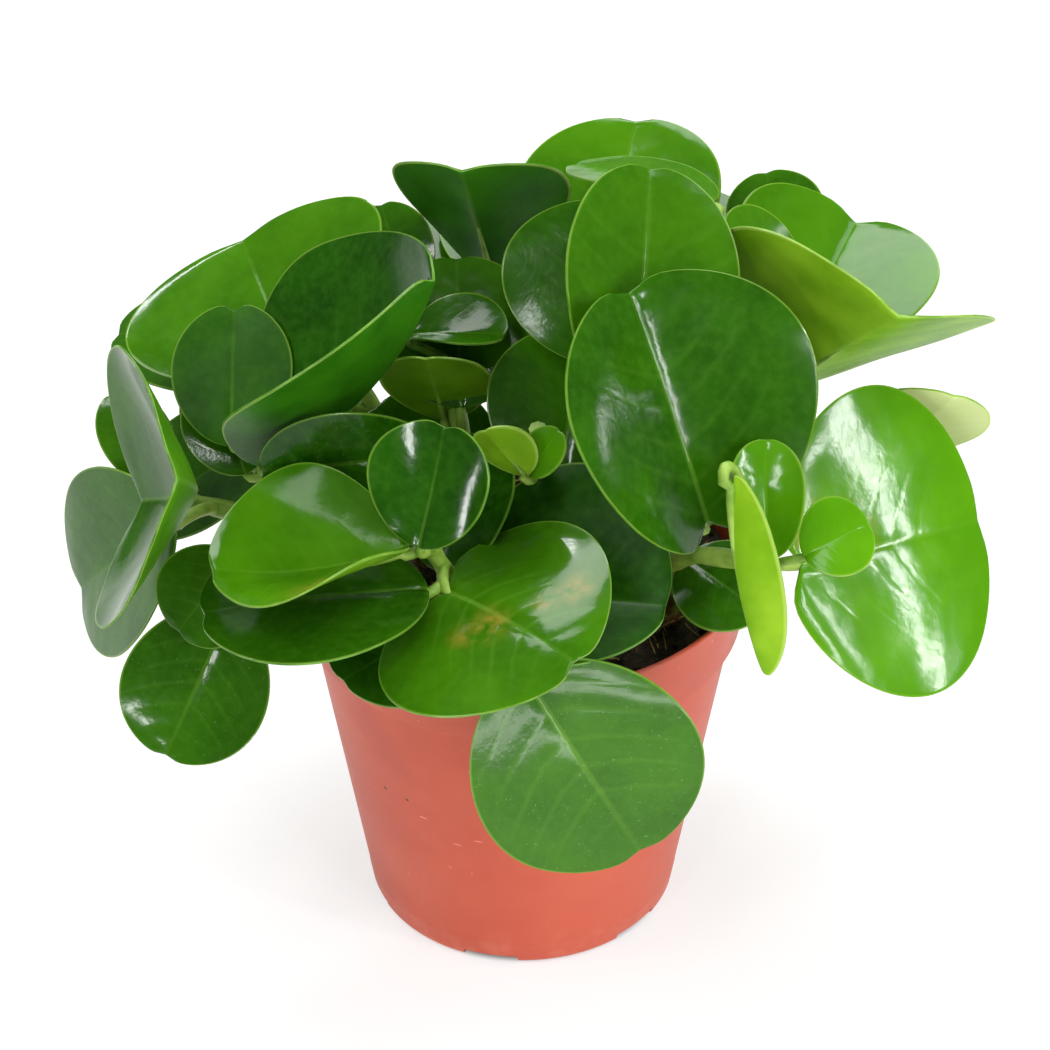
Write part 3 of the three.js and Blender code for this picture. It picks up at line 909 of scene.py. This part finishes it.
def flat_blade(looks):
    deselect()
    bpy.ops.mesh.primitive_grid_add(
        x_subdivisions=blade_rows, y_subdivisions=blade_columns, size=1, calc_uvs=True)
    blade = bpy.context.object
    for look in looks:
        blade.data.materials.append(look)
    apply_modifier(blade, "SOLIDIFY", thickness=1, offset=0, material_offset=1,
                   material_offset_rim=2)
    return blade


# %% [markdown]
# Now the measures. The outline is an ellipse with a dent at the tip, a deeper dent where the
# stalk joins some leaves, and a slightly narrower base or tip. The midrib is an arc of a
# circle, and each half of the blade rises from it at the fold and curls up by the cup. Thick
# flesh rounds the fold off, so that its light and dark bands run softly along the midrib.

# %% From measures to points
notch_spread = (0.12, 0.7)
lobe_spread = (0.15, 1)
fold_round = 2.5
almost_flat = 0.01


def leaf_axes(leaf):
    """Along the midrib, across it, and up out of the upper face."""
    heading, pitch, roll = (math.radians(angle) for angle in leaf.turn)
    ahead = np.array([math.cos(heading), math.sin(heading), 0])
    upright = np.array([0, 0, 1])
    along = math.cos(pitch) * ahead + math.sin(pitch) * upright
    level = math.cos(pitch) * upright - math.sin(pitch) * ahead
    side = np.cross(level, along)
    up = level * math.cos(roll) + side * math.sin(roll)
    return along, np.cross(up, along), up


def dent(angle, depth, narrow, broad):
    return depth * (1 - np.exp(-(angle / narrow) ** 2)) * np.exp(-(angle / broad) ** 2)


def outline(turn, leaf):
    """Shares of the length and of the half width at the edge, from the base to the tip."""
    notch = dent(math.pi - turn, leaf.notch, *notch_spread)
    reach = 1 + notch + dent(turn, leaf.lobe, *lobe_spread)
    half = reach * np.sin(turn) * (1 - leaf.taper * np.cos(turn))
    return 0.5 - 0.5 * reach * np.cos(turn), half


def bend(leaf, share, half):
    """Points of the bent blade's middle surface, and the way out of its upper face there."""
    along, across, up = leaf_axes(leaf)
    arch = math.radians(leaf.arch)
    length = leaf.long * (arch / 2) / math.sin(arch / 2)
    slope = (arch / 2 - arch * share)[:, None]
    middle = np.array(leaf.base) + length / arch * (
        (math.sin(arch / 2) - np.sin(slope)) * along + (np.cos(slope) - math.cos(arch / 2)) * up)
    local_up = -np.sin(slope) * along + np.cos(slope) * up
    out = np.abs(half) * leaf.wide / 2
    curl = math.radians(leaf.cup or almost_flat) / (leaf.wide / 2)
    fold = np.radians(leaf.fold + (leaf.tip_fold - leaf.fold) * np.clip(share, 0, 1))
    turn = fold + curl * out
    sign = np.sign(half)
    point = middle + (sign * (np.sin(turn) - np.sin(fold)) / curl)[:, None] * across
    soft = np.hypot(out, fold_round)
    rise = (np.cos(fold) - np.cos(turn)) / curl + np.sin(fold) * (soft - out)
    point += rise[:, None] * local_up
    tilt = np.arctan2(np.sin(turn) + np.sin(fold) * (out / soft - 1), np.cos(turn))
    face = np.cos(tilt)[:, None] * local_up - (sign * np.sin(tilt))[:, None] * across
    return point, face


# %% [markdown]
# The fine shape lies on top of that. Over the midrib runs a groove, and under it a rounded
# rib. Side veins leave the midrib near its base and swing towards the tip, each in a shallow
# furrow with the flesh slightly swollen between them. The blade thins towards its edge, and
# no leaf is quite even, so soft noise moves it, most of all at the edge.

# %% Relief of a blade
blade_thickness = 1.25
groove_depth = 0.45
groove_width = 1.0
groove_end = 0.15
rib_height = 0.7
vein_gap = 0.15
vein_start = 0.04
vein_lean = 0.3
vein_swing = 0.8
swell = (0.05, 0.24)
swell_margins = (3, 6)
full_swell_length = 45
thin_margin = 9
thin_loss = 0.6
wave_sizes = (9.0, 0.25)
ripple = (0.35, 0.6)
ripple_margin = 14
full_ripple_length = 40


def vein_place(share, reach):
    """Grows along a blade, and is the same all the way up a side vein."""
    return share - vein_lean * reach - vein_swing * reach ** 2


def relief(leaf, share, half, edge, seed):
    """Heights of the upper and the under face over the bent middle surface, in millimetres."""
    out = np.abs(half) * leaf.wide / 2
    reach = out / leaf.long
    fade = np.clip(1 - share, groove_end, 1)
    groove = np.exp(-(out / groove_width) ** 2) * fade
    phase = (vein_place(share, reach) - vein_start) / vein_gap
    furrow = 0.5 + 0.5 * np.cos(2 * math.pi * phase)
    inside = np.clip(out / swell_margins[0], 0, 1) * np.clip(edge / swell_margins[1], 0, 1)
    depth = swell[0] + (swell[1] - swell[0]) * leaf.veined
    puff = depth * (1 - furrow ** 3) * inside * min(1, leaf.long / full_swell_length)
    thin = blade_thickness * (1 - thin_loss * np.clip(1 - edge / thin_margin, 0, 1) ** 1.5)
    spread = wave_sizes[0] + leaf.long * wave_sizes[1]
    wave = np.array([
        noise.noise(Vector((s * leaf.long / spread, h * leaf.wide / 2 / spread, seed)))
        for s, h in zip(share, half)
    ])
    loose = ripple[0] + ripple[1] * np.clip(1 - edge / ripple_margin, 0, 1)
    uneven = wave * loose * min(1, leaf.long / full_ripple_length)
    upper = thin / 2 - groove_depth * groove + puff + uneven
    under = -thin / 2 - rib_height * groove + puff * 0.6 + uneven
    return upper, under


# %% Bending a copy of the flat blade
usual_tint = 0.15
tint_spread = 0.2


def crowd(share):
    """Spread columns so that they crowd at the midrib and at the edge."""
    return 0.5 - 0.5 * np.cos(math.pi * share)


def store(mesh, name, values):
    layer = mesh.attributes.new(name, "FLOAT", "POINT")
    layer.data.foreach_set("value", np.asarray(values, np.float32))


def mark_strength(leaf, share, half):
    strength = np.zeros(len(share))
    for at_share, at_half, radius, most in leaf.marks:
        away = np.hypot(share - at_share, (half - at_half) * leaf.wide / 2 / leaf.long)
        strength = np.maximum(strength, most * np.exp(-(away / radius) ** 2))
    return strength


def grow_blade(flat, leaf, seed):
    """Copy the flat blade and bend it into this leaf."""
    mesh = flat.data.copy()
    count = len(mesh.vertices)
    flat_points = np.empty(count * 3)
    mesh.vertices.foreach_get("co", flat_points)
    x, y, z = flat_points.reshape(-1, 3).T
    turn = np.clip(x + 0.5, 0, 1) * math.pi
    out = crowd(np.clip(np.abs(y) * 2, 0, 1))
    edge_share, edge_half = outline(turn, leaf)
    mid_share = 0.5 - 0.5 * np.cos(turn)
    share = mid_share + out * (edge_share - mid_share)
    half = out * edge_half * np.where(np.abs(y) < 1e-6, 0, np.sign(y))
    row = np.hypot((edge_share - mid_share) * leaf.long, edge_half * leaf.wide / 2)
    edge = (1 - out) * row
    point, face = bend(leaf, share, half)
    upper, under = relief(leaf, share, half, edge, seed)
    height = np.where(z > 0, upper, under)
    point = (point + face * height[:, None]) * MM
    mesh.vertices.foreach_set("co", point.ravel())
    tint = leaf.young
    if tint is None:
        tint = usual_tint + tint_spread * noise.noise((seed, 3, 5))
    store(mesh, "edge", edge)
    store(mesh, "tint", np.full(count, tint))
    store(mesh, "gold", mark_strength(leaf, share, half))
    store(mesh, "dust", np.full(count, leaf.dust))
    store(mesh, "veined", np.full(count, leaf.veined))
    if leaf.dull:
        mesh.materials[0] = dull_look
    corners = np.empty(len(mesh.loops), int)
    mesh.loops.foreach_get("vertex_index", corners)
    pattern = np.column_stack([share, half * leaf.wide / 2 / leaf.long])[corners]
    mesh.uv_layers[0].data.foreach_set("uv", pattern.ravel())
    mesh.uv_layers[0].name = "blade"
    return add_object("blade", mesh)


# %% [markdown]
# Stems and stalks are round, fleshy and pale green. Each is a curve with a round section,
# whose radius changes along it, turned into a mesh. A stem rises straight out of the soil. A
# stalk leaves its stem a little behind and below the blade, meets the blade from below and runs
# on under the midrib as a fading rib.

# %% Stems and stalks
stem_radius = 2.9
stem_taper = 0.25
scar_swell = 0.07
scar_turn = 1.25
foot_heights = (-22, 2, 5)
stalk_radius = 1.5
stalk_reach = 14
stalk_drop = 5
lowest_stalk = 6
stalk_lean = 0.4
stalk_bend = 0.35
stalk_end = 1.5
stalk_steps = 14
rib_inset = 0.2
rib_shares = np.linspace(0.06, 0.55, 9)


def tube(points, radii, look):
    """A round rod along these points in millimetres."""
    curve = bpy.data.curves.new("rod", "CURVE")
    curve.dimensions = "3D"
    curve.bevel_depth = MM
    curve.bevel_resolution = 2
    curve.use_fill_caps = True
    spline = curve.splines.new("POLY")
    spline.points.add(len(points) - 1)
    for place, point, radius in zip(spline.points, points, radii):
        place.co = (*(np.array(point) * MM), 1)
        place.radius = radius
    only(add_object("rod", curve))
    bpy.ops.object.convert(target="MESH")
    rod = bpy.context.object
    rod.data.materials.clear()
    rod.data.materials.append(look)
    return rod


def through(points, steps=10):
    """A smooth line through these points."""
    points = [np.array(p, float) for p in points]
    padded = [2 * points[0] - points[1], *points, 2 * points[-1] - points[-2]]
    line = []
    for a, b, c, d in zip(padded, padded[1:], padded[2:], padded[3:]):
        for step in range(steps):
            t = step / steps
            line.append(0.5 * (
                2 * b + (c - a) * t + (2 * a - 5 * b + 4 * c - d) * t ** 2
                + (3 * b - a - 3 * c + d) * t ** 3))
    return line + [points[-1]]


def stem_line(plan):
    x, y = plan.foot
    level = soil_level / MM
    return through([*((x, y, level + height) for height in foot_heights), *plan.stem])


def stem_radii(line):
    """A stem swells a little at each scar and narrows at its end."""
    shares = [i / len(line) for i in range(len(line))]
    return [
        stem_radius * (1 - stem_taper * share ** 3 + scar_swell * math.cos(i * scar_turn))
        for i, share in enumerate(shares)
    ]


def stalk_thickness(leaf):
    """Small leaves have thinner stalks."""
    return stalk_radius * min(1, 0.55 + leaf.long / 120)


def rib_radii(leaf):
    """The rib fades along the midrib, and its top stays just inside the blade."""
    return stalk_thickness(leaf) * np.linspace(0.85, 0.2, len(rib_shares))


def stalk_line(leaf, stem):
    along, _, up = leaf_axes(leaf)
    base = np.array(leaf.base, float)
    wanted = base - stalk_reach * along
    wanted[2] = leaf.stalk_from or min(wanted[2], base[2] - stalk_drop)
    above = [p for p in stem if p[2] > soil_level / MM + lowest_stalk]
    start = min(above, key=lambda p: np.linalg.norm(p - wanted))
    span = np.linalg.norm(base - start)
    out = (base - start) / span + np.array([0, 0, stalk_lean])
    out /= np.linalg.norm(out)
    end = base + stalk_end * along - stalk_end * up
    first = start + stalk_bend * span * out
    second = base - stalk_bend * span * along
    line = []
    for t in np.linspace(0, 1, stalk_steps):
        line.append((1 - t) ** 3 * start + 3 * (1 - t) ** 2 * t * first
                    + 3 * (1 - t) * t ** 2 * second + t ** 3 * end)
    rib, face = bend(leaf, rib_shares, np.zeros(len(rib_shares)))
    return line + list(rib - face * (rib_radii(leaf) + rib_inset)[:, None])


def stalk_radii(leaf):
    return [*(stalk_thickness(leaf) * np.linspace(1.25, 1, stalk_steps)), *rib_radii(leaf)]


# %% [markdown]
# Five finishes dress a shoot. The upper side is deep green under a thin wax, glossy and a
# little uneven, with paler midrib and veins, and on two dark leaves it is the same but dull. The
# under side is lighter, yellower and duller, and part of its brightness is painted light, standing
# in for light that shines through the thin leaf. The edge is a thin line, yellow-green on a young
# leaf and darker on an old one. Stalks and stems are pale green, and old stems turn reddish brown
# near the soil.


# %% Leaf finishes
def blade_pattern(paint):
    """Masks of the midrib and of the side veins, from the blade's own flat map."""
    flat = paint.node("ShaderNodeUVMap", {"uv_map": "blade"})
    share = paint.axis(flat, "X")
    reach = abs(paint.axis(flat, "Y"))
    wobble = paint.noise(9, 2) * 0.05 - 0.025
    place = vein_place(share, reach) - vein_start + wobble
    near = place.saw(vein_gap)
    vein = (1 - near.between(0.004, 0.024)) * (1 - reach.between(0.25, 0.5))
    vein = vein * place.between(-0.04, 0.0) * (1 - share.between(0.65, 0.95))
    midrib = (1 - reach.between(0.006, 0.02)) * (1 - 0.75 * share.between(0.2, 1))
    clear = paint.attribute("veined")
    return vein * clear, midrib * (0.35 + 0.65 * clear)


def upper_side(name, ior, lost_gloss):
    paint = Paint(name, IOR=ior)
    vein, midrib = blade_pattern(paint)
    tint = paint.attribute("tint")
    cloud = paint.noise(18, 3).between(0.3, 0.7)
    fleck = paint.noise(2.4, 3).between(0.3, 0.8)
    deep = paint.mix(cloud, colour(20, 64, 2), colour(30, 80, 3))
    fresh = paint.mix(cloud, colour(76, 140, 5), colour(92, 156, 11))
    main = paint.mix(tint, deep, fresh)
    main = paint.mix(fleck * 0.14, main, colour(84, 140, 40))
    main = paint.mix(vein * 0.13, main, colour(124, 186, 60))
    main = paint.mix(midrib * 0.3, main, colour(140, 190, 70))
    gold = paint.attribute("gold") * paint.noise(4, 3).between(0.3, 0.65)
    main = paint.mix(gold, main, colour(178, 142, 58))
    edge = paint.attribute("edge")
    main = paint.mix((1 - edge.between(0.1, 0.7)) * 0.35, main, colour(150, 190, 70))
    dust = paint.attribute("dust") * paint.noise(0.6, 2).between(0.66, 0.78)
    main = paint.mix(dust * 0.35, main, colour(196, 200, 170))
    uneven = paint.noise(3.2, 3)
    pits = paint.noise(0.7, 2)
    roughness = 0.08 + lost_gloss + 0.08 * uneven + 0.25 * dust
    return paint.finish(main, roughness, pits * 0.15 + uneven * 0.6 - vein * 0.5, 0.12, 0.5)


def under_side():
    paint = Paint("leaf under side", IOR=1.25)
    vein, midrib = blade_pattern(paint)
    tint = paint.attribute("tint")
    cloud = paint.noise(14, 3).between(0.3, 0.7)
    # Partly painted light: the under side has a lighter green of its own, and its brightness also
    # stands in for light shining through the leaf.
    old = paint.mix(cloud, colour(34, 94, 5), colour(50, 114, 10))
    fresh = paint.mix(cloud, colour(112, 164, 10), colour(144, 190, 34))
    main = paint.mix(tint, old, fresh)
    # Past a tint of 1 the under side turns a pale, whitish green.
    main = paint.mix(tint.between(1, 1.2), main, colour(206, 224, 150))
    main = paint.mix(vein * 0.12, main, colour(50, 100, 10))
    main = paint.mix(midrib * 0.4, main, colour(178, 204, 110))
    edge = paint.attribute("edge")
    main = paint.mix((1 - edge.between(0.4, 1.1)) * 0.5, main, colour(190, 214, 110))
    roughness = 0.34 + 0.14 * paint.noise(2, 2)
    return paint.finish(main, roughness, paint.noise(0.8, 2) + vein, 0.12, 0.5)


def edge_line():
    paint = Paint("leaf edge", IOR=1.4)
    tone = paint.noise(6, 2).between(0.3, 0.7)
    old = paint.mix(tone, colour(62, 112, 22), colour(98, 146, 44))
    fresh = paint.mix(tone, colour(112, 158, 40), colour(152, 188, 72))
    main = paint.mix(paint.attribute("tint"), old, fresh)
    return paint.finish(main, 0.35, paint.noise(1, 2), 0.05, 0.4)


def stalk_skin():
    paint = Paint("stalk and stem", IOR=1.42)
    height = paint.axis(paint.place(), "Z")
    tone = paint.noise(5, 3)
    main = paint.mix(tone.between(0.3, 0.7), colour(108, 148, 44), colour(150, 182, 76))
    old = (1 - height.between(104 * MM, 126 * MM)) * paint.noise(7, 2).between(0.25, 0.6)
    main = paint.mix(old, main, colour(112, 62, 40))
    return paint.finish(main, 0.38 + 0.15 * tone, paint.noise(1.2, 3), 0.12, 0.5)


leaf_looks = [upper_side("leaf upper side", 1.36, 0), under_side(), edge_line()]
dull_look = upper_side("dull leaf upper side", 1.2, 0.22)
stalk_look = stalk_skin()
flat = flat_blade(leaf_looks)
print("flat blade faces:", faces_of(flat))


# %% Shoots
noise_steps = (10, 1.7)
edge_bevel = 0.16 * MM
edge_angle = 50


def close_ends(piece):
    """Merge the points that fall together at a blade's base and tip."""
    only(piece)
    bpy.ops.object.mode_set(mode="EDIT")
    bpy.ops.mesh.select_all(action="SELECT")
    bpy.ops.mesh.remove_doubles(threshold=0.02 * MM)
    bpy.ops.object.mode_set(mode="OBJECT")


def grow_shoot(name, plan, number):
    """Grow one shoot. Each leaf has noise of its own."""
    stem = stem_line(plan)
    rods = [tube(stem, stem_radii(stem), stalk_look)]
    blades = []
    for index, leaf in enumerate(plan.leaves):
        seed = number * noise_steps[0] + index * noise_steps[1]
        blades.append(grow_blade(flat, leaf, seed))
        rods.append(tube(stalk_line(leaf, stem), stalk_radii(leaf), stalk_look))
    leaves = join(blades, "blades")
    close_ends(leaves)
    apply_modifier(leaves, "BEVEL", limit_method="ANGLE", angle_limit=math.radians(edge_angle),
                   width=edge_bevel, segments=2)
    shoot = join([leaves, *rods], f"leafy_shoot_{name}")
    bpy.ops.object.shade_smooth()
    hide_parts(f"shoot_{name}")
    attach(shoot, "root")
    return shoot


grown = [grow_shoot(name, plan, i) for i, (name, plan) in enumerate(shoots.items())]
bpy.data.objects.remove(flat)
print("shoots:", len(grown), "faces:", sum(faces_of(piece) for piece in grown))
